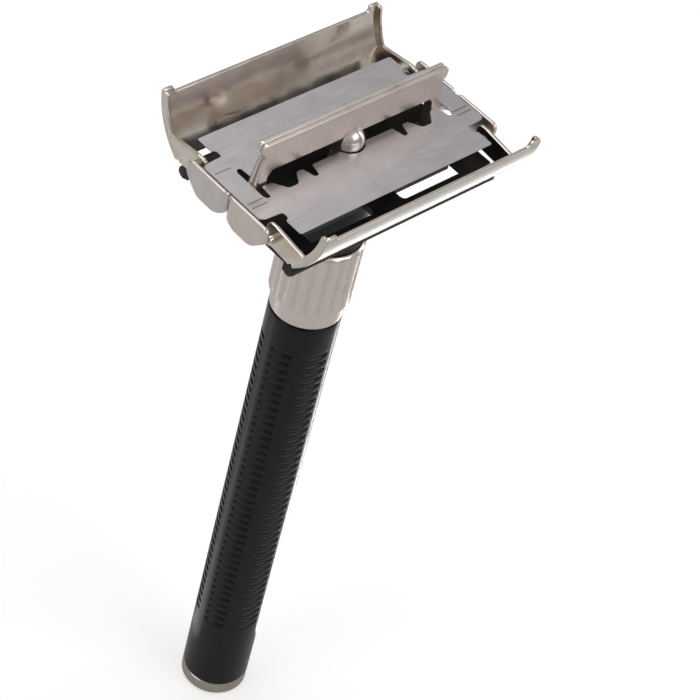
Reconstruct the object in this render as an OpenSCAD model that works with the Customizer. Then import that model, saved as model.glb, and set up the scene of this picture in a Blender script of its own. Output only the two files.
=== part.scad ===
// Twist-to-open double-edge safety razor, doors open, blade in place.
// +Z runs up the handle, +X along the blade, the origin is the centre of the
// end cap's underside.  The z values below are written from the blade's
// mid-plane and moved up by blade_z.

/* [Overall] */
// Height of the blade's mid-plane above the end cap's underside
blade_z = 123.4; // [118:0.1:130]
// Height of the fin's top edge above the blade
fin_top = 7.1; // [6.6:0.1:7.4]

/* [Handle] */
// Outside radius of the grip and the end cap
grip_r = 5.69; // [5.5:0.01:6.2]
// Thickness of the end cap's visible rim
cap_h = 2.6; // [2:0.1:4]
// Radius of the bore through the plastic grip
grip_bore_r = 4.27; // [4.27:0.01:4.4]
// Grooves in each finger column
groove_count = 40; // [30:1:41]
// Distance from one groove to the next
groove_pitch = 1.69; // [1.6:0.01:1.7]
// Depth of a finger groove
groove_depth = 0.4; // [0.2:0.05:0.6]
// Turn of the first groove column about the handle
groove_phase = 20.8; // [0:0.1:59]

/* [Collar] */
// Outside radius over the collar's flutes
collar_r = 6.35; // [6.2:0.01:6.6]
// Number of shallow flutes round the collar
flute_count = 20; // [12:1:24]
// Length of the collar
collar_len = 15.3; // [14:0.1:16]

/* [Blade] */
// Half length of the blade over its end tabs
blade_hx = 21.45; // [21.3:0.05:21.5]
// Half width of the blade across its cutting edges
blade_hy = 11; // [10.8:0.05:11.1]
// Thickness of the blade
blade_t = 0.1; // [0.1:0.01:0.12]

/* [Doors] */
// Outside radius of a door's curved cover
door_r = 13; // [12.8:0.1:13.2]
// Sheet thickness of the doors
door_t = 0.65; // [0.5:0.05:0.7]
// Half length of a door over its arms
door_hx = 20.5; // [20.4:0.05:20.6]
// Radius of the hinge pins
pin_r = 0.7; // [0.6:0.05:0.75]

/* [Guard base] */
// Half length of the guard base
base_hx = 19.65; // [19.2:0.05:19.7]
// Outer edge of each guard bar from the centre line
guard_y = 12.2; // [11.9:0.1:12.3]

/* [Hidden] */
$fn = 64;

e = 0.01;
ring_z = -32.3;                       // underside of the collar
collar_z = ring_z + collar_len;       // top of the collar
step_z = ring_z + 3.5;                // flutes end here
grip_top = ring_z - 0.1;
cap_top = cap_h - blade_z;
first_groove = -38.55;
sheet = 0.6;                          // carrier sheet
curl_r = 1.1;                         // outside radius of the lobes' curled edge
lobe_x = 21.6;                        // inner face of the end lobes
px = 8.35;                            // hinge pin, distance from the centre line
pz = -1.85;                           // hinge pin, below the blade
cy = 4.56;                            // centre of the door's arc, doors open
cz = 6.17;
rod_r = 2;
thread_r = 1.7;
core_r = 4.25;

// a z-axis tube
module tube(ro, ri, z0, z1) {
  difference() {
    translate([0, 0, z0]) cylinder(r = ro, h = z1 - z0);
    translate([0, 0, z0 - 1]) cylinder(r = ri, h = z1 - z0 + 2);
  }
}
// a flat piece drawn in Y and Z, from x0 to x1
module slab_x(x0, x1) {
  translate([x0, 0, 0]) rotate([90, 0, 90]) linear_extrude(height = x1 - x0) children();
}
// a flat piece drawn in X and Z, from y0 to y1
module slab_y(y0, y1) {
  translate([0, y1, 0]) rotate([90, 0, 0]) linear_extrude(height = y1 - y0) children();
}
module both_ends() { children(); mirror([1, 0, 0]) children(); }
module all_corners() { both_ends() { children(); mirror([0, 1, 0]) children(); } }

// ---------------------------------------------------------------- head
module guard_section() {
  // one guard bar, drawn in Y and Z
  difference() {
    union() {
      translate([guard_y - 1.0, -5.85]) circle(r = 1.0);
      translate([guard_y - 2.0, -5.95]) square([1.55, 1.1]);
      translate([guard_y - 2.0, -6.6]) square([1.5, 1.2]);
      translate([guard_y - 0.9, -6.35]) square([0.9, 0.6]);
    }
  }
}
module window_2d() {
  // rinse window, with its outer corners rounded
  difference() {
    translate([2.7, 7.4]) square([12, 2.8]);
    translate([2.7, 9.4]) difference() { square([0.8, 0.8]); translate([0.8, 0]) circle(r = 0.8, $fn = 32); }
  }
}
module guard_base() {
  color([0.07, 0.075, 0.075]) translate([0, 0, blade_z]) difference() {
    union() {
      // deck
      translate([-base_hx, -10.8, -5.2]) cube([2 * base_hx, 21.6, 1.1]);
      // stiffening frame under the deck
      translate([-15, -7.2, -6.2]) cube([30, 14.4, 1.0]);
      // guard bars
      for (m = [0, 1]) mirror([0, m, 0]) slab_x(-base_hx, base_hx) guard_section();
      // rails that the closed blade lies on
      for (s = [-1, 1]) translate([-14.4, s * 6.7 - 0.35, -4.1]) cube([28.8, 0.7, 0.24]);
      // neck
      translate([0, 0, -16.98]) cylinder(r = 5.75, h = 11.9);
      translate([0, 0, -6.6]) cylinder(r1 = 5.75, r2 = 6.6, h = 1.2);
      translate([0, 0, -24]) cylinder(r = 4.55, h = 7.5);
    }
    all_corners() translate([0, 0, -6.8]) linear_extrude(height = 3) window_2d();
    // open end slots that the carrier's legs and feet drop through
    both_ends() translate([15.35, -1.15, -8]) cube([6, 2.3, 5]);
    // bore for the hub and the lift rod
    translate([0, 0, -12]) cylinder(r = 2.65, h = 10);
    translate([0, 0, -30]) cylinder(r = 3.6, h = 18.15);
  }
}
module collar() {
  color([0.72, 0.69, 0.65]) translate([0, 0, blade_z]) difference() {
    union() {
      translate([0, 0, ring_z + 0.35]) cylinder(r = grip_r, h = collar_len - 0.35);
      translate([0, 0, ring_z]) cylinder(r1 = grip_r - 0.2, r2 = grip_r, h = 0.35);
      difference() {
        union() {
          translate([0, 0, step_z + 0.7]) cylinder(r = collar_r, h = collar_z - 0.6 - step_z - 0.7);
          translate([0, 0, step_z]) cylinder(r1 = grip_r, r2 = collar_r, h = 0.7);
          translate([0, 0, collar_z - 0.6]) cylinder(r1 = collar_r, r2 = collar_r - 0.5, h = 0.6);
        }
        for (i = [0 : flute_count - 1]) rotate([0, 0, (i + 0.5) * 360 / flute_count])
          translate([collar_r + 1.75, 0, step_z - 1]) cylinder(r = 1.9, h = collar_len, $fn = 32);
      }
    }
    // seat of the neck's spigot, then the handle's bearing
    translate([0, 0, -24.2]) cylinder(r = 4.57, h = 10);
    translate([0, 0, ring_z - 1]) cylinder(r = core_r + 0.05, h = 10);
    translate([0, 0, -28.7]) cylinder(r = 4.85, h = 0.7);
  }
}
module guide_bush() {
  color([0.75, 0.62, 0.35]) translate([0, 0, blade_z]) difference() {
    translate([0, 0, -19.5]) cylinder(r = 3.58, h = 7.6);
    intersection() {
      translate([0, 0, -20.5]) cylinder(r = rod_r + 0.06, h = 12);
      translate([-3, -1.66, -20.5]) cube([6, 3.32, 12]);
    }
  }
}
module wave_washer() {
  color([0.6, 0.6, 0.62]) translate([0, 0, blade_z]) difference() {
    union() {
      tube(4.15, 3.25, -25.0, -24.55);
      for (a = [0 : 120 : 359]) rotate([0, 0, a]) {
        translate([3.35, -0.7, -24.6]) cube([0.7, 1.4, 0.4]);
        rotate([0, 0, 60]) translate([3.35, -0.7, -25.3]) cube([0.7, 1.4, 0.35]);
      }
    }
  }
}
module retaining_ring() {
  color([0.45, 0.45, 0.48]) translate([0, 0, blade_z]) difference() {
    tube(4.8, 4.0, -28.65, -28.1);
    translate([0, -0.7, -29]) cube([6, 1.4, 2]);
  }
}

// ---------------------------------------------------------------- handle
module grip() {
  color([0.06, 0.06, 0.065]) translate([0, 0, blade_z]) difference() {
    union() {
      translate([0, 0, cap_top + 0.05]) cylinder(r = grip_r, h = grip_top - cap_top - 0.35);
      translate([0, 0, grip_top - 0.3]) cylinder(r1 = grip_r, r2 = grip_r - 0.2, h = 0.3);
    }
    translate([0, 0, cap_top - 1]) cylinder(r = grip_bore_r, h = grip_top - cap_top + 3);
    for (i = [0 : groove_count - 1]) for (k = [0 : 5])
      rotate([0, 0, groove_phase + 60 * k - 19.5]) rotate_extrude(angle = 39)
        translate([grip_r - groove_depth, first_groove - i * groove_pitch - 0.4]) square([groove_depth + 1, 0.8]);
  }
}
module core_tube() {
  color([0.62, 0.63, 0.65]) translate([0, 0, blade_z]) difference() {
    tube(core_r, 3.05, cap_top + 3.4, -25.4);
    tube(6, 3.85, -28.75, -28.0);
  }
}
module drive_nut() {
  color([0.78, 0.62, 0.3]) translate([0, 0, blade_z]) difference() {
    translate([0, 0, -66]) cylinder(r = 3.03, h = 8);
    translate([0, 0, -67]) cylinder(r = thread_r + 0.06, h = 10);
    for (i = [0 : 5]) translate([0, 0, -65 + i * 1.1]) cylinder(r = thread_r + 0.4, h = 0.5);
    translate([0, 0, -58.4]) cylinder(r1 = thread_r + 0.06, r2 = thread_r + 0.6, h = 0.5);
  }
}
module end_cap() {
  color([0.74, 0.71, 0.67]) {
    cylinder(r1 = grip_r - 0.35, r2 = grip_r, h = 0.35);
    translate([0, 0, 0.35]) cylinder(r = grip_r, h = cap_h - 0.6);
    translate([0, 0, cap_h - 0.25]) cylinder(r1 = grip_r, r2 = grip_r - 0.2, h = 0.25);
    translate([0, 0, cap_h - 1]) cylinder(r = core_r, h = 1.35 + 3 - 0.3);
    translate([0, 0, cap_h]) cylinder(r = 3.03, h = 8);
  }
}

// ---------------------------------------------------------------- carrier
module lift_rod() {
  color([0.68, 0.68, 0.7]) translate([0, 0, blade_z]) difference() {
    union() {
      translate([0, 0, -46]) cylinder(r = rod_r, h = 43);
      translate([0, 0, -68]) cylinder(r = thread_r, h = 22.1);
    }
    // guide flats
    for (s = [-1, 1]) translate([-4, s * 3.6 - 2, -40]) cube([8, 4, 34.3]);
    // thread roots
    for (i = [0 : 12]) translate([0, 0, -64.6 + i * 1.1]) tube(3, thread_r - 0.25, 0, 0.45);
    // groove for the stop clip
    translate([0, 0, -67.0]) tube(3, thread_r - 0.35, 0, 0.55);
    // hole for the cross pin
    translate([0, 4, -4.2]) rotate([90, 0, 0]) cylinder(r = 0.52, h = 8);
  }
}
module stop_clip() {
  color([0.4, 0.4, 0.43]) translate([0, 0, blade_z]) difference() {
    tube(2.7, thread_r - 0.33, -66.95, -66.5);
    translate([0, -0.9, -68]) cube([4, 1.8, 3]);
  }
}
module rod_hub() {
  color([0.8, 0.78, 0.77]) translate([0, 0, blade_z]) difference() {
    union() {
      translate([0, 0, -5.6]) cylinder(r = 2.4, h = 6.3);
      translate([0, 0, 0.7]) sphere(r = 2.4);
    }
    translate([0, 0, -6]) cylinder(r = rod_r + 0.02, h = 3.02);
    translate([-4, -0.82, -2.7]) cube([8, 1.64, 8]);
    translate([0, 4, -4.2]) rotate([90, 0, 0]) cylinder(r = 0.52, h = 8);
  }
}
module hub_pin() {
  color([0.5, 0.5, 0.53]) translate([0, 2.3, blade_z - 4.2]) rotate([90, 0, 0]) cylinder(r = 0.5, h = 4.6);
}
// outline of the fin, right half, drawn in X and Z
module fin_half_2d() {
  difference() {
    union() {
      polygon([[-0.01, 2], [15.2, 2], [15.7, 1.2], [15.7, -4.6], [17.6, -4.6], [17.7, -0.75], [18.0, -0.75], [17.9, 0.2],
        [17.2, 3.3], [16.9, 3.9], [16.75, 4.4], [16.95, 5.0], [17.4, 5.5], [17.5, 6.0],
        [17.45, fin_top - 0.5], [17.3, fin_top - 0.15], [17.0, fin_top], [-0.01, fin_top]]);
      // foot that joins the leg to the platform
      translate([17.5, -0.75]) square([2.7, sheet]);
      // tongue that sits in the hub
      translate([-0.01, -2.6]) square([1.5, 5]);
    }
  }
}
// rounded end lobe, drawn in Y and Z
module lobe_2d() {
  intersection() {
    union() {
      translate([3.35, -1.85]) circle(r = 3.0);
      translate([5.6, -1.9]) circle(r = 2.95);
      translate([0.3, -2.2]) square([3, 2.3]);
      translate([3.35, -4.85]) square([2.25, 3]);
      translate([3.0, -2]) square([4.75, 2.1]);
      translate([7.7, -0.75]) circle(r = 0.85);
      translate([7.0, -2.0]) square([1.55, 1.3]);
    }
    translate([0.3, -6]) square([8.25, 6.1]);
  }
}
// One pressed half of the carrier: fin sheet, legs, end platforms, end lobes.
// The two halves' fin sheets lie back to back at y = 0.
module carrier_half() {
  union() {
    slab_y(-0.8, -0.02) { fin_half_2d(); mirror([1, 0]) fin_half_2d(); }
    both_ends() {
      // platform under the blade's tab, clear of the guard base's end
      translate([19.9, -5.6, -0.75]) cube([lobe_x - 19.9 + 0.3, 5.58, sheet]);
      mirror([0, 1, 0]) slab_x(lobe_x, lobe_x + sheet) difference() {
        lobe_2d();
        translate([-1, -7]) square([curl_r + 1.02, 9]);
      }
      // the lobe's inner edge curls in towards the head
      intersection() {
        translate([lobe_x + sheet - curl_r, -curl_r - 0.02, -4.4]) rotate_extrude(angle = 90)
          translate([curl_r - sheet, 0]) square([sheet, 4.28]);
        mirror([0, 1, 0]) slab_x(lobe_x - 2, lobe_x + 2) translate([3.35, -1.85]) {
          circle(r = 3.36);
          translate([-3.36, 0]) square([3, 3]);
        }
      }
    }
  }
}
module front_carrier_plate() {
  color([0.76, 0.7, 0.66]) translate([0, 0, blade_z]) carrier_half();
}
module rear_carrier_plate() {
  color([0.76, 0.72, 0.69]) translate([0, 0, blade_z]) mirror([0, 1, 0]) carrier_half();
}
module hinge_pins() {
  both_ends() translate([door_hx - door_t - 0.04, px, pz]) rotate([0, 90, 0])
    cylinder(r = pin_r, h = lobe_x - door_hx + door_t + 0.04);
}
module front_hinge_pins() {
  color([0.8, 0.8, 0.78]) translate([0, 0, blade_z]) mirror([0, 1, 0]) hinge_pins();
}
module rear_hinge_pins() {
  color([0.8, 0.8, 0.78]) translate([0, 0, blade_z]) hinge_pins();
}

// ---------------------------------------------------------------- blade
module slot_quarter() {
  polygon([[-0.01, -0.01], [-0.01, 1.15], [7.6, 1.15], [7.75, 1.6], [7.95, 2.75], [8.2, 3.1], [8.55, 3.2],
    [8.85, 3.1], [9.05, 2.8], [9.3, 1.9], [9.45, 1.3], [10.0, 1.2], [10.5, 1.35], [11.0, 1.85], [11.5, 2.5],
    [11.9, 2.95], [12.4, 3.15], [13.1, 3.15], [13.6, 2.95], [14.7, 1.7], [15.3, 1.15], [16.9, 1.1],
    [16.9, 2.75], [17.05, 3.1], [17.4, 3.25], [17.75, 3.1], [17.95, 2.75], [18.05, -0.01]]);
}
module blade_2d() {
  difference() {
    union() {
      square([36.9, 2 * blade_hy], center = true);
      square([2 * blade_hx - 1.6, 12.6], center = true);
      square([2 * blade_hx, 11.0], center = true);
      for (sx = [-1, 1], sy = [-1, 1]) translate([sx * (blade_hx - 0.8), sy * 5.5]) circle(r = 0.8, $fn = 32);
    }
    for (sx = [0, 1], sy = [0, 1]) mirror([sx, 0]) mirror([0, sy]) {
      slot_quarter();
      // undercut notch beside the tab
      translate([18.3, 7.05]) circle(r = 0.55, $fn = 32);
      translate([18.2, 6.5]) square([3, 1.35]);
      // eased corner of the cutting edge
      translate([18.45 - 0.35, blade_hy - 0.35]) difference() { square([1, 1]); circle(r = 0.35, $fn = 32); }
      translate([18.45, 7.6]) rotate([0, 0, 30]) square([0.5, 0.9]);
    }
    circle(r = 2.65);
  }
}
module blade() {
  color([0.64, 0.62, 0.64]) translate([0, 0, blade_z]) difference() {
    translate([0, 0, -blade_t / 2]) linear_extrude(height = blade_t) blade_2d();
    // ground cutting edges
    for (m = [0, 1]) mirror([0, m, 0]) slab_x(-19, 19) {
      polygon([[blade_hy - 0.3, blade_t / 2], [blade_hy + 0.01, 0.012], [blade_hy + 0.3, 0.3], [blade_hy - 0.3, 0.3]]);
      polygon([[blade_hy - 0.3, -blade_t / 2], [blade_hy + 0.01, -0.012], [blade_hy + 0.3, -0.3], [blade_hy - 0.3, -0.3]]);
    }
  }
}

// ---------------------------------------------------------------- doors
// a slice of a ring between two angles, in Y and Z, about the door's arc centre
module arc_band(a0, a1) {
  translate([cy, cz]) intersection() {
    difference() { circle(r = door_r, $fn = 128); circle(r = door_r - door_t, $fn = 128); }
    polygon([[0, 0], 16 * [cos(a0), sin(a0)], 16 * [cos((a0 + a1) / 2), sin((a0 + a1) / 2)] * 1.1, 16 * [cos(a1), sin(a1)]]);
  }
}
module arm_2d() {
  difference() {
    intersection() {
      union() {
        translate([px, pz]) circle(r = 1.85);
        polygon([[px, pz + 1.85], [14.9, -0.9], [16.5, -0.9], [14, -3.4], [13.0, -3.95], [12.7, -3.6], [12.1, -3.6],
          [11.8, -4.0], [px + 0.2, -3.7]]);
      }
      translate([cy, cz]) circle(r = door_r, $fn = 128);
    }
    translate([px, pz]) circle(r = pin_r + 0.06);
  }
}
// the cover's lower lip is eased inside so that it swings past the cutting edge
module cover_2d() {
  difference() {
    arc_band(-53.2, -2.0);
    polygon([[12.462, -3.1], [12.23, -4.2], [11.4, -4.5], [11.4, -3.1]]);
  }
}
// narrow return that follows the inside of the cover at each end
module return_2d() {
  translate([cy, cz]) intersection() {
    difference() { circle(r = door_r - door_t + 0.02, $fn = 128); circle(r = door_r - door_t - 0.75, $fn = 128); }
    polygon([[0, 0], 16 * [cos(-50), sin(-50)], 17.6 * [cos(-27), sin(-27)], 16 * [cos(-4.6), sin(-4.6)]]);
  }
}
// the cover's outline seen square on: a long low edge with an ear at each end
module cover_front_2d() {
  translate([-door_hx, -6]) square([2 * door_hx, 10.15]);
  for (m = [0, 1]) mirror([m, 0]) {
    translate([18.55, 4.1]) square([door_hx - 0.12 - 18.55, 0.55]);
    translate([19.0, 4.6]) square([door_hx - 0.57 - 19.0, 0.5]);
    translate([19.0, 4.65]) circle(r = 0.45);
    translate([door_hx - 0.57, 4.65]) circle(r = 0.45);
    difference() {
      translate([17.85, 4.1]) square([0.75, 0.55]);
      translate([17.9, 4.8]) circle(r = 0.65);
    }
  }
}
module door() {
  union() {
    intersection() {
      slab_x(-door_hx, door_hx) cover_2d();
      slab_y(10, 19) cover_front_2d();
    }
    both_ends() {
      slab_x(door_hx - door_t, door_hx) arm_2d();
      slab_x(door_hx - door_t, door_hx - 0.05) return_2d();
    }
  }
}
module front_door() {
  color([0.73, 0.71, 0.68]) translate([0, 0, blade_z]) mirror([0, 1, 0]) door();
}
module rear_door() {
  color([0.73, 0.71, 0.68]) translate([0, 0, blade_z]) door();
}

guard_base();
collar();
guide_bush();
wave_washer();
retaining_ring();
grip();
core_tube();
drive_nut();
end_cap();
lift_rod();
stop_clip();
rod_hub();
hub_pin();
front_carrier_plate();
rear_carrier_plate();
front_hinge_pins();
rear_hinge_pins();
blade();
front_door();
rear_door();
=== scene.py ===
import bpy, bmesh, math
from mathutils import Matrix, Vector


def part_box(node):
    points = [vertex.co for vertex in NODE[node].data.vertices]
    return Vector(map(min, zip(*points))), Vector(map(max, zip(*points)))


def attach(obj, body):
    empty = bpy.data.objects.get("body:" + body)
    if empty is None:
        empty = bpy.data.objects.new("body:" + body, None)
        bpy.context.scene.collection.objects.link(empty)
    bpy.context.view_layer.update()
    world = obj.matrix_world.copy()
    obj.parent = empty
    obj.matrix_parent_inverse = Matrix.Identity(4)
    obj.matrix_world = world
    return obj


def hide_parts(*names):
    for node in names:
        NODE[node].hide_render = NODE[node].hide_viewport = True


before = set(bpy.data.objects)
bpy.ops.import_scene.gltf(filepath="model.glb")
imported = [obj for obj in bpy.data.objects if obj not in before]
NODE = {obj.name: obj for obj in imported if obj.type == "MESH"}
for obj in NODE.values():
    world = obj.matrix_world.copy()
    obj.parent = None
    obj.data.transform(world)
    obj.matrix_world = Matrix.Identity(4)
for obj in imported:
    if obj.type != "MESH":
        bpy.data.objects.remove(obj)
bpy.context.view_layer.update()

MM = 0.001
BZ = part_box("blade")[0].z + (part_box("blade")[1].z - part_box("blade")[0].z) / 2   # blade's mid-plane


# ------------------------------------------------------------------ materials
class Mat:
    """A small helper that builds node materials in the object's own coordinates."""

    def __init__(self, name):
        self.m = bpy.data.materials.new(name)
        self.m.use_nodes = True
        self.t = self.m.node_tree
        self.t.nodes.clear()
        self.out = self.t.nodes.new("ShaderNodeOutputMaterial")
        self.p = self.t.nodes.new("ShaderNodeBsdfPrincipled")
        self.t.links.new(self.p.outputs[0], self.out.inputs[0])
        self.co = self.t.nodes.new("ShaderNodeTexCoord").outputs["Object"]

    def link(self, a, b):
        self.t.links.new(a, b)

    def noise(self, scale, detail=3.0, rough=0.55, dist=0.0, offset=(0, 0, 0)):
        """Noise whose features are 1/scale metres long on each axis."""
        mp = self.t.nodes.new("ShaderNodeMapping")
        mp.inputs["Scale"].default_value = scale
        mp.inputs["Location"].default_value = offset
        self.link(self.co, mp.inputs["Vector"])
        n = self.t.nodes.new("ShaderNodeTexNoise")
        n.inputs["Scale"].default_value = 1.0
        n.inputs["Detail"].default_value = detail
        n.inputs["Roughness"].default_value = rough
        n.inputs["Distortion"].default_value = dist
        self.link(mp.outputs[0], n.inputs["Vector"])
        return n.outputs["Fac"]

    def span(self, x, a0, a1, b0, b1):
        """x from a0..a1 to b0..b1, clamped."""
        n = self.t.nodes.new("ShaderNodeMapRange")
        for k, v in zip(("From Min", "From Max", "To Min", "To Max"), (a0, a1, b0, b1)):
            n.inputs[k].default_value = v
        self.link(x, n.inputs["Value"])
        return n.outputs[0]

    def math(self, op, a, b=None, c=None):
        n = self.t.nodes.new("ShaderNodeMath")
        n.operation = op
        for i, v in enumerate((a, b, c)):
            if v is None:
                continue
            if isinstance(v, (int, float)):
                n.inputs[i].default_value = v
            else:
                self.link(v, n.inputs[i])
        return n.outputs[0]

    def mix(self, f, a, b):
        n = self.t.nodes.new("ShaderNodeMix")
        n.data_type = "RGBA"
        if isinstance(f, (int, float)):
            n.inputs[0].default_value = f
        else:
            self.link(f, n.inputs[0])
        for i, v in ((6, a), (7, b)):
            if isinstance(v, tuple):
                n.inputs[i].default_value = (*v, 1)
            else:
                self.link(v, n.inputs[i])
        return n.outputs[2]

    def xyz(self):
        n = self.t.nodes.new("ShaderNodeSeparateXYZ")
        self.link(self.co, n.inputs[0])
        return n.outputs[0], n.outputs[1], n.outputs[2]

    def bump(self, h, strength, distance, into=None):
        n = self.t.nodes.new("ShaderNodeBump")
        n.inputs["Strength"].default_value = strength
        n.inputs["Distance"].default_value = distance
        self.link(h, n.inputs["Height"])
        if into is not None:
            self.link(into, n.inputs["Normal"])
        return n.outputs[0]

    def painted_cavity_shade(self, distance):
        """Painted shade mask from ambient occlusion: 1 in the open, lower in grooves and corners where shade falls."""
        n = self.t.nodes.new("ShaderNodeAmbientOcclusion")
        n.samples = 6
        n.inputs["Distance"].default_value = distance
        return n.outputs["AO"]


def scaled(c, k):
    return tuple(min(1.0, v * k) for v in c)


def brushed(name, base, rough, along, grain=0.25, tone=0.10, fine=9000, painted_cavity_shade=0.0, bump=0.35):
    """Metal with fine lines running along the axes given as small scales in `along`."""
    m = Mat(name)
    lines = m.noise(tuple(fine if a == 0 else a for a in along), 4.0, 0.6)
    broad = m.noise((260, 260, 260), 3.0, 0.5, 0.4, (3.1, 1.7, 0.4))
    f = m.math("ADD", m.math("MULTIPLY", lines, 0.55), m.math("MULTIPLY", broad, 0.45))
    colour = m.mix(m.span(f, 0.34, 0.66, 0, 1), scaled(base, 1 - tone), scaled(base, 1 + tone * 0.8))
    # painted shade: the colour is darkened toward a dark copy of the base in grooves and corners, by ambient occlusion
    if painted_cavity_shade:
        painted_shade = m.span(m.painted_cavity_shade(0.0012), 0.35, 0.95, painted_cavity_shade, 0.0)
        colour = m.mix(painted_shade, colour, scaled(base, 0.22))
    m.link(colour, m.p.inputs["Base Color"])
    m.p.inputs["Metallic"].default_value = 1.0
    r = m.math("ADD", m.span(lines, 0.3, 0.7, rough - grain * 0.35, rough + grain * 0.35),
               m.span(broad, 0.3, 0.7, -0.04, 0.04))
    m.link(r, m.p.inputs["Roughness"])
    m.link(m.bump(lines, bump, 0.000006), m.p.inputs["Normal"])
    return m


def plastic(name, base, rough, coat=0.0, painted_cavity_shade=0.0):
    m = Mat(name)
    broad = m.noise((420, 420, 220), 3.0, 0.5)
    grain = m.noise((7000, 7000, 7000), 2.0, 0.6)
    scuff = m.noise((900, 900, 5200), 5.0, 0.72, 1.2)
    colour = m.mix(m.span(broad, 0.3, 0.7, 0, 1), scaled(base, 0.8), scaled(base, 1.35))
    worn = m.span(scuff, 0.62, 0.78, 0, 0.35)
    colour = m.mix(worn, colour, scaled(base, 2.4))
    # painted shade: the colour is darkened toward a dark copy of the base in grooves and corners, by ambient occlusion
    if painted_cavity_shade:
        colour = m.mix(m.span(m.painted_cavity_shade(0.0015), 0.4, 0.95, painted_cavity_shade, 0), colour, scaled(base, 0.25))
    m.link(colour, m.p.inputs["Base Color"])
    m.link(m.math("ADD", m.span(broad, 0.3, 0.7, rough - 0.04, rough + 0.05), m.math("MULTIPLY", worn, 0.35)),
           m.p.inputs["Roughness"])
    m.p.inputs["Specular IOR Level"].default_value = 0.24
    if coat:
        m.p.inputs["Coat Weight"].default_value = coat
        m.p.inputs["Coat Roughness"].default_value = 0.12
    m.link(m.bump(grain, 0.12, 0.00001), m.p.inputs["Normal"])
    return m


def door_material(name, side):
    """Satin outside, bright and faintly wavy inside the curve; side is +1 rear, -1 front."""
    m = Mat(name)
    x, y, z = m.xyz()
    dy = m.math("SUBTRACT", m.math("MULTIPLY", y, side), 4.56 * MM)
    dz = m.math("SUBTRACT", z, BZ + 6.17 * MM)
    r = m.math("SQRT", m.math("ADD", m.math("MULTIPLY", dy, dy), m.math("MULTIPLY", dz, dz)))
    outside = m.span(r, 12.42 * MM, 12.9 * MM, 0, 1)
    lines = m.noise((160, 9000, 9000), 4.0, 0.6)
    broad = m.noise((230, 330, 330), 3.0, 0.5, 0.6, (0.7, 0.2, 1.3))
    pits = m.noise((2600, 2600, 2600), 2.0, 0.5)
    spots = m.span(pits, 0.70, 0.78, 0, 0.6)
    satin = m.mix(m.span(lines, 0.35, 0.65, 0, 1), (0.60, 0.57, 0.53), (0.74, 0.70, 0.66))
    bright = m.mix(m.span(broad, 0.3, 0.7, 0, 1), (0.66, 0.58, 0.50), (0.84, 0.78, 0.71))
    colour = m.mix(outside, bright, satin)
    colour = m.mix(spots, colour, (0.30, 0.25, 0.21))
    m.link(colour, m.p.inputs["Base Color"])
    m.p.inputs["Metallic"].default_value = 1.0
    rough_in = m.span(broad, 0.3, 0.7, 0.10, 0.20)
    rough_out = m.span(lines, 0.3, 0.7, 0.26, 0.38)
    rough = m.math("ADD", m.math("MULTIPLY", rough_out, outside),
                   m.math("MULTIPLY", rough_in, m.math("SUBTRACT", 1.0, outside)))
    m.link(m.math("ADD", rough, m.math("MULTIPLY", spots, 0.3)), m.p.inputs["Roughness"])
    b = m.bump(broad, 0.5, 0.00006)
    m.link(m.bump(lines, 0.2, 0.000005, b), m.p.inputs["Normal"])
    return m


def blade_material(name):
    """Rolled strip with bright ground edges and plain score lines on the tabs."""
    m = Mat(name)
    x, y, z = m.xyz()
    ay, ax = m.math("ABSOLUTE", y), m.math("ABSOLUTE", x)
    lines = m.noise((200, 3200, 0), 2.0, 0.55)
    cross = m.noise((2800, 260, 0), 2.0, 0.5, 0.0, (5, 1, 2))
    broad = m.noise((190, 240, 200), 3.0, 0.5, 0.5)
    stain = m.noise((700, 900, 400), 5.0, 0.7, 1.4, (1.2, 4.4, 0.0))
    base = m.mix(m.span(broad, 0.3, 0.7, 0, 1), (0.47, 0.455, 0.475), (0.56, 0.54, 0.555))
    base = m.mix(m.span(lines, 0.35, 0.65, 0, 0.35), base, (0.66, 0.64, 0.66))
    base = m.mix(m.span(stain, 0.60, 0.80, 0, 0.35), base, (0.36, 0.33, 0.32))
    # ground bevels, a coarse one and a fine one
    ground = m.span(ay, 9.6 * MM, 10.7 * MM, 0, 1)
    base = m.mix(m.math("MULTIPLY", ground, 0.25), base, (0.62, 0.61, 0.63))
    # score lines
    def bar(v, at, half):
        return m.span(m.math("ABSOLUTE", m.math("SUBTRACT", v, at)), half, half * 1.6, 1, 0)
    on_tab = m.math("MULTIPLY", m.span(ax, 18.15 * MM, 18.2 * MM, 0, 1), m.span(ax, 20.95 * MM, 21.0 * MM, 1, 0))
    score = m.math("MAXIMUM", bar(y, -2.9 * MM, 0.07 * MM), bar(y, -3.85 * MM, 0.07 * MM))
    left = m.span(x, -1 * MM, 1 * MM, 1, 0)
    score = m.math("MAXIMUM", score, m.math("MULTIPLY", left, bar(y, 4.05 * MM, 0.07 * MM)))
    score = m.math("MULTIPLY", score, on_tab)
    base = m.mix(m.math("MULTIPLY", score, 0.8), base, (0.10, 0.10, 0.11))
    m.link(base, m.p.inputs["Base Color"])
    m.p.inputs["Metallic"].default_value = 1.0
    r = m.math("ADD", m.span(lines, 0.3, 0.7, 0.30, 0.42), m.math("MULTIPLY", ground, -0.02))
    m.link(m.math("ADD", r, m.span(stain, 0.6, 0.8, 0, 0.06)), m.p.inputs["Roughness"])
    h = m.math("SUBTRACT", m.math("ADD", lines, m.math("MULTIPLY", cross, 0.3)), m.math("MULTIPLY", score, 3.0))
    m.link(m.bump(h, 0.06, 0.000005), m.p.inputs["Normal"])
    return m


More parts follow.
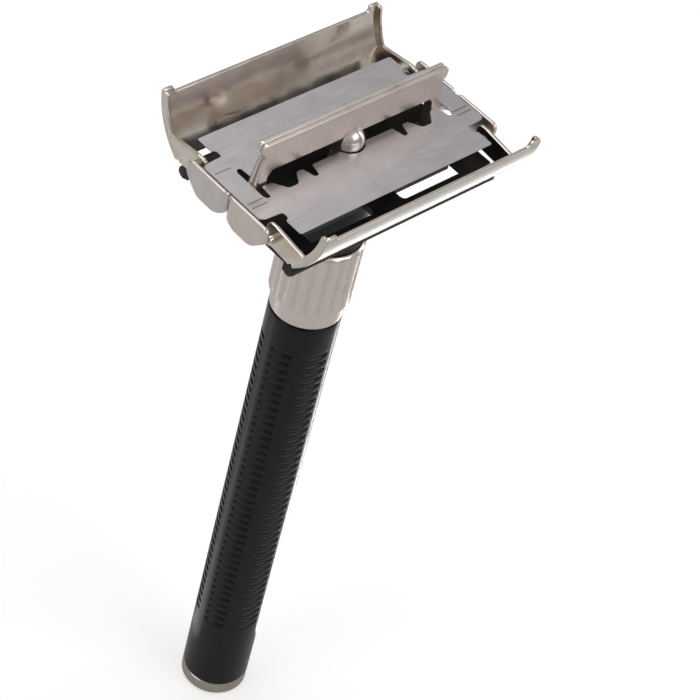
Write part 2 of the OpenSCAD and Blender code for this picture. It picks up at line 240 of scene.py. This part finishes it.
def collar_material(name):
    m = brushed(name, (0.76, 0.69, 0.645), 0.28, (0, 0, 90), 0.06, 0.05, 2600, 0.0, 0.02)
    x, y, z = m.xyz()
    # painted shade: the flutes' bottoms are painted darker than their crowns, shade laid into the hollows
    turn = m.math("COSINE", m.math("MULTIPLY", m.math("SUBTRACT", m.math("ARCTAN2", y, x), math.radians(3)), 20.0))
    low = m.math("MULTIPLY", m.span(turn, 0.0, 1.0, 0, 0.20), m.span(z, BZ - 29.0 * MM, BZ - 27.5 * MM, 0, 1))
    colour = m.p.inputs["Base Color"].links[0].from_socket
    m.link(m.mix(low, colour, (0.36, 0.315, 0.285)), m.p.inputs["Base Color"])
    return m


M = {
    "black_plastic": plastic("black_plastic", (0.010, 0.0105, 0.0105), 0.38, 0.0, 0.6),
    "black_grip": plastic("black_grip", (0.0050, 0.0052, 0.0060), 0.23, 0.0, 0.7),
    "satin_nickel": brushed("satin_nickel", (0.52, 0.475, 0.425), 0.28, (0, 0, 200), 0.1, 0.08, 3000, 0.2, 0.05),
    "collar_nickel": collar_material("collar_nickel"),
    "carrier_front": brushed("carrier_front_steel", (0.74, 0.66, 0.61), 0.30, (0, 0, 160), 0.05, 0.07, 2600, 0.0, 0.02),
    "carrier_rear": brushed("carrier_rear_steel", (0.70, 0.655, 0.62), 0.31, (0, 0, 160), 0.05, 0.07, 2500, 0.0, 0.02),
    "bright_nickel": brushed("bright_nickel", (0.70, 0.65, 0.65), 0.24, (400, 400, 400), 0.08, 0.06, 5000, 0.2, 0.1),
    "pin_steel": brushed("pin_steel", (0.70, 0.68, 0.60), 0.24, (300, 0, 0), 0.12, 0.1, 6000, 0.3),
    "machined_steel": brushed("machined_steel", (0.56, 0.56, 0.57), 0.25, (0, 0, 5200), 0.16, 0.1, 500, 0.2),
    "spring_steel": brushed("spring_steel", (0.33, 0.33, 0.35), 0.33, (600, 600, 600), 0.2, 0.14, 6000, 0.2),
    "brass": brushed("brass", (0.76, 0.57, 0.27), 0.26, (0, 0, 4200), 0.18, 0.12, 500, 0.3),
    "door_front": door_material("door_steel_front", -1),
    "door_rear": door_material("door_steel_rear", 1),
    "blade": blade_material("blade_steel"),
}
LOOK = {
    "guard_base": "black_plastic", "collar": "collar_nickel", "guide_bush": "brass",
    "wave_washer": "spring_steel", "retaining_ring": "spring_steel", "grip": "black_grip",
    "core_tube": "machined_steel", "drive_nut": "brass", "end_cap": "satin_nickel",
    "lift_rod": "machined_steel", "stop_clip": "spring_steel", "rod_hub": "bright_nickel",
    "hub_pin": "machined_steel", "front_carrier_plate": "carrier_front",
    "rear_carrier_plate": "carrier_rear", "front_hinge_pins": "pin_steel",
    "rear_hinge_pins": "pin_steel", "blade": "blade", "front_door": "door_front",
    "rear_door": "door_rear",
}
# eased edges, in mm: pressed sheet is rounder than moulded or ground edges
EASE = {
    "guard_base": 0.22, "collar": 0.10, "grip": 0.09, "end_cap": 0.12, "core_tube": 0.05,
    "lift_rod": 0.05, "rod_hub": 0.12, "hub_pin": 0.05, "front_carrier_plate": 0.26,
    "rear_carrier_plate": 0.26, "front_hinge_pins": 0.12, "rear_hinge_pins": 0.12,
    "front_door": 0.20, "rear_door": 0.20, "guide_bush": 0.1, "wave_washer": 0.08,
    "retaining_ring": 0.1, "drive_nut": 0.1, "stop_clip": 0.06,
}


def dress(o, name, keep_flat=False):
    """Clean, eased edges and one material on a carried-over CAD node."""
    o.data.materials.clear()
    o.data.materials.append(M[LOOK[name]].m)
    bpy.context.view_layer.objects.active = o
    if o.data.has_custom_normals:
        with bpy.context.temp_override(active_object=o, object=o, selected_objects=[o], selected_editable_objects=[o]):
            bpy.ops.mesh.customdata_custom_splitnormals_clear()
    for p in o.data.polygons:
        p.use_smooth = not keep_flat
        p.material_index = 0
    w = o.modifiers.new("weld", "WELD")
    w.merge_threshold = 2e-7
    if keep_flat:
        return
    if name in EASE:
        b = o.modifiers.new("ease", "BEVEL")
        b.width = EASE[name] * MM
        b.segments = 3
        b.limit_method = "ANGLE"
        b.angle_limit = math.radians(32)
        b.use_clamp_overlap = True
    n = o.modifiers.new("normals", "WEIGHTED_NORMAL")
    n.keep_sharp = False
    n.weight = 60


# ------------------------------------------------------------------ sheet metal
def rounded(corners, n=7):
    """A closed outline from (u, v, radius) corners."""
    out = []
    count = len(corners)
    for i, (x, y, r) in enumerate(corners):
        p = Vector((x, y))
        a, b = Vector(corners[i - 1][:2]), Vector(corners[(i + 1) % count][:2])
        if r <= 0:
            out.append(p)
            continue
        d1, d2 = (a - p).normalized(), (b - p).normalized()
        ang = max(0.02, d1.angle(d2))
        if ang > math.pi - 0.03:
            out.append(p)
            continue
        t = min(r / math.tan(ang / 2), 0.49 * (a - p).length, 0.49 * (b - p).length)
        rr = t * math.tan(ang / 2)
        c = p + (d1 + d2).normalized() * (rr / math.sin(ang / 2))
        v0, v1 = p + d1 * t - c, p + d2 * t - c
        a0, a1 = math.atan2(v0.y, v0.x), math.atan2(v1.y, v1.x)
        da = (a1 - a0 + math.pi) % (2 * math.pi) - math.pi
        for k in range(n + 1):
            out.append(c + Vector((math.cos(a0 + da * k / n), math.sin(a0 + da * k / n))) * rr)
    clean = []
    for q in out:
        if not clean or (q - clean[-1]).length > 0.01:
            clean.append(q)
    if (clean[0] - clean[-1]).length < 0.01:
        clean.pop()
    area2 = sum(clean[i - 1].x * clean[i].y - clean[i].x * clean[i - 1].y for i in range(len(clean)))
    return clean if area2 > 0 else clean[::-1]


def plate(bm, outline, t, r, place, cuts=(), steps=4):
    """A sheet t thick with its edges rounded by r; place() maps (u, v, w) in mm to the part's frame.
    cuts lists the v values where the sheet is divided so that place() may bend it."""
    part = bmesh.new()
    n = len(outline)
    inward = []
    for i in range(n):
        a, p, b = outline[i - 1], outline[i], outline[(i + 1) % n]
        e1, e2 = (p - a).normalized(), (b - p).normalized()
        n1, n2 = Vector((-e1.y, e1.x)), Vector((-e2.y, e2.x))
        m = (n1 + n2)
        m = m.normalized() if m.length > 1e-6 else n1
        inward.append(m / max(0.45, m.dot(n1)))
    prof = [(r - r * math.sin(math.pi / 2 * k / steps), r - r * math.cos(math.pi / 2 * k / steps)) for k in range(steps + 1)]
    rings = []
    for inset, w in prof + [(i, t - w) for i, w in reversed(prof)]:
        rings.append([part.verts.new((*(outline[i] + inward[i] * inset), w)) for i in range(n)])
    for ra, rb in zip(rings, rings[1:]):
        for i in range(n):
            j = (i + 1) % n
            part.faces.new((ra[i], ra[j], rb[j], rb[i]))
    part.faces.new(rings[0][::-1])
    part.faces.new(rings[-1])
    for v in cuts:
        bmesh.ops.bisect_plane(part, geom=part.verts[:] + part.edges[:] + part.faces[:], dist=1e-5,
                               plane_co=(0, v, 0), plane_no=(0, 1, 0))
    part.normal_update()
    big = [f for f in part.faces if len(f.verts) > 4]
    bmesh.ops.triangulate(part, faces=big, quad_method="BEAUTY", ngon_method="BEAUTY")
    for v in part.verts:
        q = place(*v.co)
        v.co = (q[0] * MM, q[1] * MM, q[2] * MM + BZ)
    bmesh.ops.recalc_face_normals(part, faces=part.faces[:])
    me = bpy.data.meshes.new("part")
    part.to_mesh(me)
    part.free()
    bm.from_mesh(me)
    bpy.data.meshes.remove(me)


def piece(name, bm, look, body, node, mirror_y=False, flats=False):
    if mirror_y:
        for v in bm.verts:
            v.co.y = -v.co.y
        bmesh.ops.reverse_faces(bm, faces=bm.faces[:])
    me = bpy.data.meshes.new(name)
    bm.to_mesh(me)
    bm.free()
    for p in me.polygons:
        p.use_smooth = not (flats and max(abs(c) for c in p.normal) > 0.99999)
    me.materials.append(M[look].m)
    o = bpy.data.objects.new(name, me)
    bpy.context.scene.collection.objects.link(o)
    if not flats:
        n = o.modifiers.new("normals", "WEIGHTED_NORMAL")
        n.keep_sharp = False
        n.weight = 70
    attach(o, body)
    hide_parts(node)
    return o


# ---- doors: built for the rear (+Y) side, mirrored for the front
CY, CZ, DR, DT, DX = 4.56, 6.17, 13.0, 0.65, 20.5
A0 = math.radians(-53.2)


def on_arc(u, v, w):
    a = A0 + v / DR
    w = min(w, 0.17 + 0.8 * v) if abs(u) < 19.95 else w
    return (u, CY + (DR - w) * math.cos(a), CZ + (DR - w) * math.sin(a))


def s_at(z):
    return DR * (math.asin((z - CZ) / DR) - A0)


def door_mesh():
    bm = bmesh.new()
    top, ear = s_at(4.15), s_at(5.09)
    side = [(DX, 0.0, 0.55), (DX, ear, 0.5), (18.62, ear, 0.42), (18.45, top, 0.45)]
    cover = rounded(side + [(-x, v, r) for x, v, r in reversed(side)])
    cuts = [0.12, 0.25, 0.4, 0.6] + [0.6 + 0.42 * k for k in range(1, 25)]
    plate(bm, cover, DT, 0.2, on_arc, cuts)
    for sx in (-1, 1):
        # return inside the cover's end: u is the depth below the outer surface
        ret = rounded([(0.5, 0.9, 0.2), (1.38, 1.3, 0.2), (1.38, s_at(4.7), 0.35), (0.5, s_at(5.0), 0.3)])
        plate(bm, ret, 0.56, 0.16,
              lambda u, v, w, sx=sx: (sx * (19.9 + w), CY + (DR - u) * math.cos(A0 + v / DR), CZ + (DR - u) * math.sin(A0 + v / DR)),
              [1.0 + 0.42 * k for k in range(24)])
        arc = [(CY + 12.97 * math.cos(math.radians(a)), CZ + 12.97 * math.sin(math.radians(a)), 0) for a in range(-50, -35, 2)]
        arm = rounded([(6.52, -3.68, 1.78), (8.6, -3.72, 0.5), (11.75, -4.02, 0.25), (12.0, -3.62, 0.18), (12.5, -3.62, 0.18),
                       (12.72, -3.86, 0)] + arc + [(15.3, -0.95, 0.3), (8.4, -0.02, 0.8), (6.52, -0.02, 1.78)])
        plate(bm, arm, 0.61, 0.17, lambda u, v, w, sx=sx: (sx * (19.87 + w), u, v))
    return bm


piece("rear_door_sheet", door_mesh(), "door_rear", "rear_door_body", "rear_door")
piece("front_door_sheet", door_mesh(), "door_front", "front_door_body", "front_door", mirror_y=True)

# ---- carrier: built for the front (-Y) side, mirrored for the rear
FIN_TOP = (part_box("front_carrier_plate")[1].z - BZ) / MM


def lobe_bend(sx, x_out=22.2, r_out=1.1, y0=1.12):
    def place(u, v, w):
        # v is the distance along the sheet from the start of the curl, u is the height, w the depth from outside
        if v >= 0:
            return (sx * (x_out - w), -(y0 + v), u)
        a = -v / r_out
        return (sx * (x_out - r_out + (r_out - w) * math.cos(a)), -(y0 - (r_out - w) * math.sin(a)), u)
    return place


def carrier_mesh():
    bm = bmesh.new()
    half = [(1.5, -2.58, 0.2), (1.5, 2.0, 0.25), (15.1, 2.0, 0.55), (15.72, 1.1, 0.5), (15.72, -4.57, 0.3), (17.56, -4.57, 0.3),
            (17.84, 0.1, 1.5), (17.2, 3.3, 1.2), (16.72, 4.4, 0.9), (17.45, 5.65, 0.9),
            (17.5, FIN_TOP, 0.6)]
    fin = rounded(half + [(-x, z, r) for x, z, r in reversed(half)])
    plate(bm, fin, 0.77, 0.2, lambda u, v, w: (u, -0.795 + w, v))
    for sx in (-1, 1):
        deck = rounded([(17.3, -0.08, 0.12), (21.85, -0.08, 0.12), (21.85, -5.55, 0.3), (19.93, -5.55, 0.35), (19.93, -0.76, 0.12), (17.3, -0.76, 0.12)])
        plate(bm, deck, 0.58, 0.1, lambda u, v, w, sx=sx: (sx * u, v, -0.74 + w))
        lobe = rounded([(-3.35, -1.62, 0.5), (-4.8, 1.0, 1.9), (-4.83, 4.6, 2.4), (-2.2, 7.4, 1.9), (0.09, 7.4, 0.95),
                        (0.09, -0.45, 0.2), (-0.14, -0.72, 0.2), (-0.14, -1.62, 0.24)], 9)
        plate(bm, lobe, 0.58, 0.2, lobe_bend(sx), [-1.5 + 0.15 * k for k in range(11)])
    return bm


piece("front_carrier_sheet", carrier_mesh(), "carrier_front", "carrier", "front_carrier_plate", flats=True)
piece("rear_carrier_sheet", carrier_mesh(), "carrier_rear", "carrier", "rear_carrier_plate", mirror_y=True, flats=True)


# ---- blade: one outline with rounded notches, the slot cut out, the edges ground thin
BX, BY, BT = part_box("blade")[1].x / MM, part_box("blade")[1].y / MM, (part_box("blade")[1].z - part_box("blade")[0].z) / MM


def four_ways(quarter, n):
    """A closed loop from one quarter's (x, y, r) corners, listed from the x axis round to the y axis."""
    q = list(quarter)
    return rounded(q + [(-x, y, r) for x, y, r in reversed(q)] + [(-x, -y, r) for x, y, r in q]
                   + [(x, -y, r) for x, y, r in reversed(q)], n)


def blade_mesh():
    outer = four_ways([(BX, 5.9, 0.7), (20.7, 6.3, 0.5), (18.9, 6.42, 0.4), (17.75, 6.45, 0.42), (17.75, 7.62, 0.42),
                       (18.45, 8.05, 0.3), (18.45, BY, 0.35)], 6)
    slot = four_ways([(18.05, 2.75, 0.4), (17.75, 3.3, 0.4), (17.05, 3.3, 0.4), (16.9, 1.1, 0.2), (15.2, 1.15, 0.4), (13.7, 3.2, 0.9),
                      (11.9, 3.2, 0.9), (10.7, 1.2, 0.7), (9.5, 1.2, 0.5), (8.95, 3.25, 0.4), (8.15, 3.25, 0.4),
                      (7.7, 1.15, 0.3), (2.39, 1.15, 0.1), (1.6, 2.11, 0), (0.85, 2.51, 0), (0.2, 2.642, 0)], 5)
    bm = bmesh.new()
    edges = []
    for loop in (outer, slot):
        vs = [bm.verts.new((p.x, p.y, BT / 2)) for p in loop]
        edges += [bm.edges.new((vs[i - 1], vs[i])) for i in range(len(vs))]
    bmesh.ops.triangle_fill(bm, use_beauty=True, use_dissolve=False, edges=edges, normal=(0, 0, 1))
    for v in (BY - 0.3, -(BY - 0.3)):
        bmesh.ops.bisect_plane(bm, geom=bm.verts[:] + bm.edges[:] + bm.faces[:], dist=1e-5, plane_co=(0, v, 0), plane_no=(0, 1, 0))
    rim = [e for e in bm.edges if e.is_boundary]
    bottom = bmesh.ops.duplicate(bm, geom=bm.verts[:] + bm.edges[:] + bm.faces[:])
    pairs = bottom["vert_map"]
    low = {v for v in bottom["geom"] if isinstance(v, bmesh.types.BMVert)}
    for v in low:
        v.co.z = -BT / 2
    for e in rim:
        a, b = e.verts
        bm.faces.new((a, b, pairs[b], pairs[a]))
    for v in bm.verts:
        over = (abs(v.co.y) - (BY - 0.3)) / 0.3
        if over > 0:
            v.co.z *= 1 - 0.25 * min(1.0, over)
        v.co = (v.co.x * MM, v.co.y * MM, v.co.z * MM + BZ)
    bmesh.ops.recalc_face_normals(bm, faces=bm.faces[:])
    return bm


steel = piece("blade_strip", blade_mesh(), "blade", "blade_body", "blade")
for poly in steel.data.polygons:
    poly.use_smooth = False
steel.modifiers.clear()


# ------------------------------------------------------------------ turned pieces
def smooth(x):
    x = max(0.0, min(1.0, x))
    return x * x * (3 - 2 * x)


def turned(name, profile, radius, n_phi, look, body, node, inner):
    """A closed ring: an outer wall whose radius may vary round it, and a plain inner wall.
    profile is a list of heights z from the blade's plane; radius(phi, z, i) gives the outer wall; inner is (r, z0, z1)."""
    verts, faces = [], []
    rows = [[] for _ in profile]
    for i, z in enumerate(profile):
        for k in range(n_phi):
            ph = 2 * math.pi * k / n_phi
            r = radius(math.degrees(ph), z, i)
            rows[i].append(len(verts))
            verts.append((r * math.cos(ph) * MM, r * math.sin(ph) * MM, z * MM + BZ))
    for z in inner[1:]:
        row = []
        for k in range(n_phi):
            ph = 2 * math.pi * k / n_phi
            row.append(len(verts))
            verts.append((inner[0] * math.cos(ph) * MM, inner[0] * math.sin(ph) * MM, z * MM + BZ))
        rows.append(row)
    rows.append(rows[0])
    for a, b in zip(rows, rows[1:]):
        for k in range(n_phi):
            j = (k + 1) % n_phi
            faces.append((a[k], a[j], b[j], b[k]))
    bm = bmesh.new()
    me = bpy.data.meshes.new("t")
    me.from_pydata(verts, [], faces)
    bm.from_mesh(me)
    bpy.data.meshes.remove(me)
    bmesh.ops.recalc_face_normals(bm, faces=bm.faces[:])
    return piece(name, bm, look, body, node)


# grip: six columns of short grooves with soft edges
G_TOP, G_BOT, G_R = -32.42, (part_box("grip")[0].z - BZ) / MM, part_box("grip")[1].x / MM
FIRST, PITCH, ROWS, PHASE, DEPTH = -38.55, 1.69, 40, 20.8, 0.40


def grip_levels():
    z = [G_TOP, G_TOP - 0.03, G_TOP - 0.1, G_TOP - 0.2, G_TOP - 0.32, -34, -36, -37.4]
    for i in range(ROWS):
        c = FIRST - i * PITCH
        z += [c + d for d in (0.52, 0.4, 0.3, 0.2, 0.0, -0.2, -0.3, -0.4, -0.52)]
    z += [-106, -109, -113, -117, G_BOT + 0.3, G_BOT + 0.12, G_BOT + 0.04, G_BOT]
    return z


def grip_radius(ph, z, i):
    r = G_R
    r -= 0.2 * (1 - math.sqrt(max(0.0, 1 - (1 - min(1.0, (G_TOP - z) / 0.32)) ** 2)))
    r -= 0.10 * (1 - smooth((z - G_BOT) / 0.2))
    k = round((FIRST - z) / PITCH)
    if 0 <= k < ROWS:
        d = abs(z - (FIRST - k * PITCH))
        across = 1 - smooth((d - 0.17) / 0.27)
        a = (ph - PHASE + 30) % 60 - 30
        along = 1 - smooth((abs(a) - 16.5) / 3.5)
        r -= DEPTH * across * along
    return r


turned("grip_sleeve", grip_levels(), grip_radius, 240, "black_grip", "handle", "grip", (4.28, G_BOT, G_TOP))

# collar: shallow flutes that run out before the plain skirt
C_BOT, C_TOP = (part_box("collar")[0].z - BZ) / MM, (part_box("collar")[1].z - BZ) / MM
C_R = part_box("collar")[1].x / MM


def collar_levels():
    z = [C_BOT, C_BOT + 0.05, C_BOT + 0.14, C_BOT + 0.28, C_BOT + 0.4, -31, -30]
    z += [-29.4, -29.2, -29.05, -28.95, -28.85, -28.75, -28.6, -28.4, -28.1, -27.6, -26.8, -25.5, -24, -22.5, -21, -19.8, -18.9, -18.3]
    z += [C_TOP - 0.75, C_TOP - 0.62, C_TOP - 0.5, C_TOP - 0.3, C_TOP - 0.12, C_TOP - 0.04, C_TOP]
    return z


def collar_radius(ph, z, i):
    low = 5.69 - 0.22 * (1 - smooth((z - C_BOT) / 0.35))
    k = smooth((z + 29.2) / 0.6)
    r = low + (C_R - low) * k
    a = abs((ph - 3 + 9) % 18 - 9) / 9.0          # 0 on a groove line, 1 on a land's crown
    r -= 0.24 * (1 - smooth(a / 0.8)) * smooth((z + 29.3) / 3.0) * (1 - smooth((z - C_TOP + 0.8) / 0.3))
    r -= 0.46 * smooth((z - C_TOP + 0.62) / 0.62)
    return r


turned("collar_sleeve", collar_levels(), collar_radius, 360, "collar_nickel", "head", "collar", (4.58, C_BOT, C_TOP))

DONE = {"rear_door", "front_door", "front_carrier_plate", "rear_carrier_plate", "grip", "collar", "blade"}
for name in LOOK:
    if name in DONE:
        NODE[name].data.materials.clear()
        NODE[name].data.materials.append(M[LOOK[name]].m)
    else:
        dress(NODE[name], name, keep_flat=(name == "blade"))

# ------------------------------------------------------------------ stage
floor_mesh = bpy.data.meshes.new("floor")
s = 3.0
floor_mesh.from_pydata([(-s, -s, -0.0001), (s, -s, -0.0001), (s, s, -0.0001), (-s, s, -0.0001)], [], [(0, 1, 2, 3)])
floor = bpy.data.objects.new("floor", floor_mesh)
bpy.context.scene.collection.objects.link(floor)
fm = Mat("pale_floor")
fm.p.inputs["Roughness"].default_value = 0.9
fm.p.inputs["Specular IOR Level"].default_value = 0.1
fm.p.inputs["Emission Color"].default_value = (1, 1, 1, 1)
lp = fm.t.nodes.new("ShaderNodeLightPath")
fm.link(fm.math("MULTIPLY", lp.outputs["Is Camera Ray"], 0.5), fm.p.inputs["Emission Strength"])
fm.link(fm.mix(fm.span(fm.noise((6, 6, 6)), 0.3, 0.7, 0, 1), (0.60, 0.60, 0.60), (0.63, 0.63, 0.63)), fm.p.inputs["Base Color"])
floor_mesh.materials.append(fm.m)

# ------------------------------------------------------------------ light
world = bpy.data.worlds.new("studio")
world.use_nodes = True
wt = world.node_tree
wt.nodes.clear()
wo = wt.nodes.new("ShaderNodeOutputWorld")
bg = wt.nodes.new("ShaderNodeBackground")
tc = wt.nodes.new("ShaderNodeTexCoord")
sp = wt.nodes.new("ShaderNodeSeparateXYZ")
rp = wt.nodes.new("ShaderNodeValToRGB")
wt.links.new(tc.outputs["Generated"], sp.inputs[0])
mr = wt.nodes.new("ShaderNodeMapRange")
mr.inputs["From Min"].default_value = -1
mr.inputs["From Max"].default_value = 1
wt.links.new(sp.outputs[2], mr.inputs["Value"])
wt.links.new(mr.outputs[0], rp.inputs[0])
el = rp.color_ramp.elements
el[0].position, el[0].color = 0.0, (0.9, 0.9, 0.9, 1)
el[1].position, el[1].color = 1.0, (0.80, 0.80, 0.82, 1)
for pos, c in ((0.44, (0.75, 0.74, 0.73)), (0.50, (0.38, 0.345, 0.32)), (0.56, (0.70, 0.67, 0.64)), (0.62, (0.52, 0.48, 0.45)), (0.80, (0.72, 0.70, 0.69))):
    e = el.new(pos)
    e.color = (*c, 1)
bg.inputs["Strength"].default_value = 0.62
wt.links.new(rp.outputs[0], bg.inputs[0])
# what the camera sees beyond the floor is plain and pale
plain = wt.nodes.new("ShaderNodeBackground")
plain.inputs["Color"].default_value = (1, 1, 1, 1)
plain.inputs["Strength"].default_value = 0.95
ray = wt.nodes.new("ShaderNodeLightPath")
pick = wt.nodes.new("ShaderNodeMixShader")
wt.links.new(ray.outputs["Is Camera Ray"], pick.inputs[0])
wt.links.new(bg.outputs[0], pick.inputs[1])
wt.links.new(plain.outputs[0], pick.inputs[2])
wt.links.new(pick.outputs[0], wo.inputs[0])
bpy.context.scene.world = world


def area(name, at, to, size, power, colour=(1, 1, 1)):
    l = bpy.data.lights.new(name, "AREA")
    l.shape = "RECTANGLE"
    l.size, l.size_y = size
    l.energy = power
    l.color = colour
    o = bpy.data.objects.new(name, l)
    o.location = at
    o.rotation_mode = "QUATERNION"
    o.rotation_quaternion = (Vector(to) - Vector(at)).to_track_quat("-Z", "Y")
    bpy.context.scene.collection.objects.link(o)
    return o


mid = Vector((0, 0, 0.10))


def low_strip(name, direction, near, far, width, power):
    """A dim strip lying by the stand, seen only in the handle's gloss."""
    d = Vector((*direction, 0)).normalized()
    c = d * (near + far) / 2
    l = bpy.data.lights.new(name, "AREA")
    l.shape = "RECTANGLE"
    l.size, l.size_y = far - near, width
    l.energy = power
    o = bpy.data.objects.new(name, l)
    o.location = (c.x, c.y, 0.002)
    o.rotation_euler = (math.pi, 0, math.atan2(-d.y, -d.x) * 1.0)
    o.visible_camera = False
    bpy.context.scene.collection.objects.link(o)


low_strip("rim_strip", (0.766, 0.01), 0.012, 0.16, 0.008, 0.030)
low_strip("fill_strip", (-0.41, 0.56), 0.012, 0.16, 0.012, 0.004)
area("key_softbox", (0.25, -0.75, 0.75), mid, (0.7, 0.5), 2.6, (1.0, 0.985, 0.96))
area("left_softbox", (-0.85, 0.15, 0.55), mid, (0.5, 0.6), 1.6, (0.97, 0.98, 1.0))
area("top_softbox", (0.05, 0.35, 0.95), mid, (0.8, 0.6), 2.4)
area("right_strip", (0.7, -0.25, 0.22), mid, (0.12, 0.6), 0.9)

# ------------------------------------------------------------------ camera
cam = bpy.data.cameras.new("camera")
cam.sensor_width = 36
cam.lens = 2403.0878 * 36 / 700
cam.clip_start, cam.clip_end = 0.01, 20
camera = bpy.data.objects.new("camera", cam)
R0 = Vector((0.7290411735, -0.6571163599, 0.1915647590))
R1 = Vector((-0.3765784542, -0.6187791787, -0.6894207683))
R2 = Vector((0.5715659500, 0.4304769651, -0.6985713617))
m = Matrix((R0, -R1, -R2)).transposed().to_4x4()
m.translation = Vector((-0.20326255, -0.16333940, 0.21526564 + BZ))
camera.matrix_world = m
bpy.context.scene.collection.objects.link(camera)
bpy.context.scene.camera = camera
bpy.context.scene.view_settings.view_transform = "Standard"
bpy.context.scene.view_settings.look = "None"

bpy.context.view_layer.update()
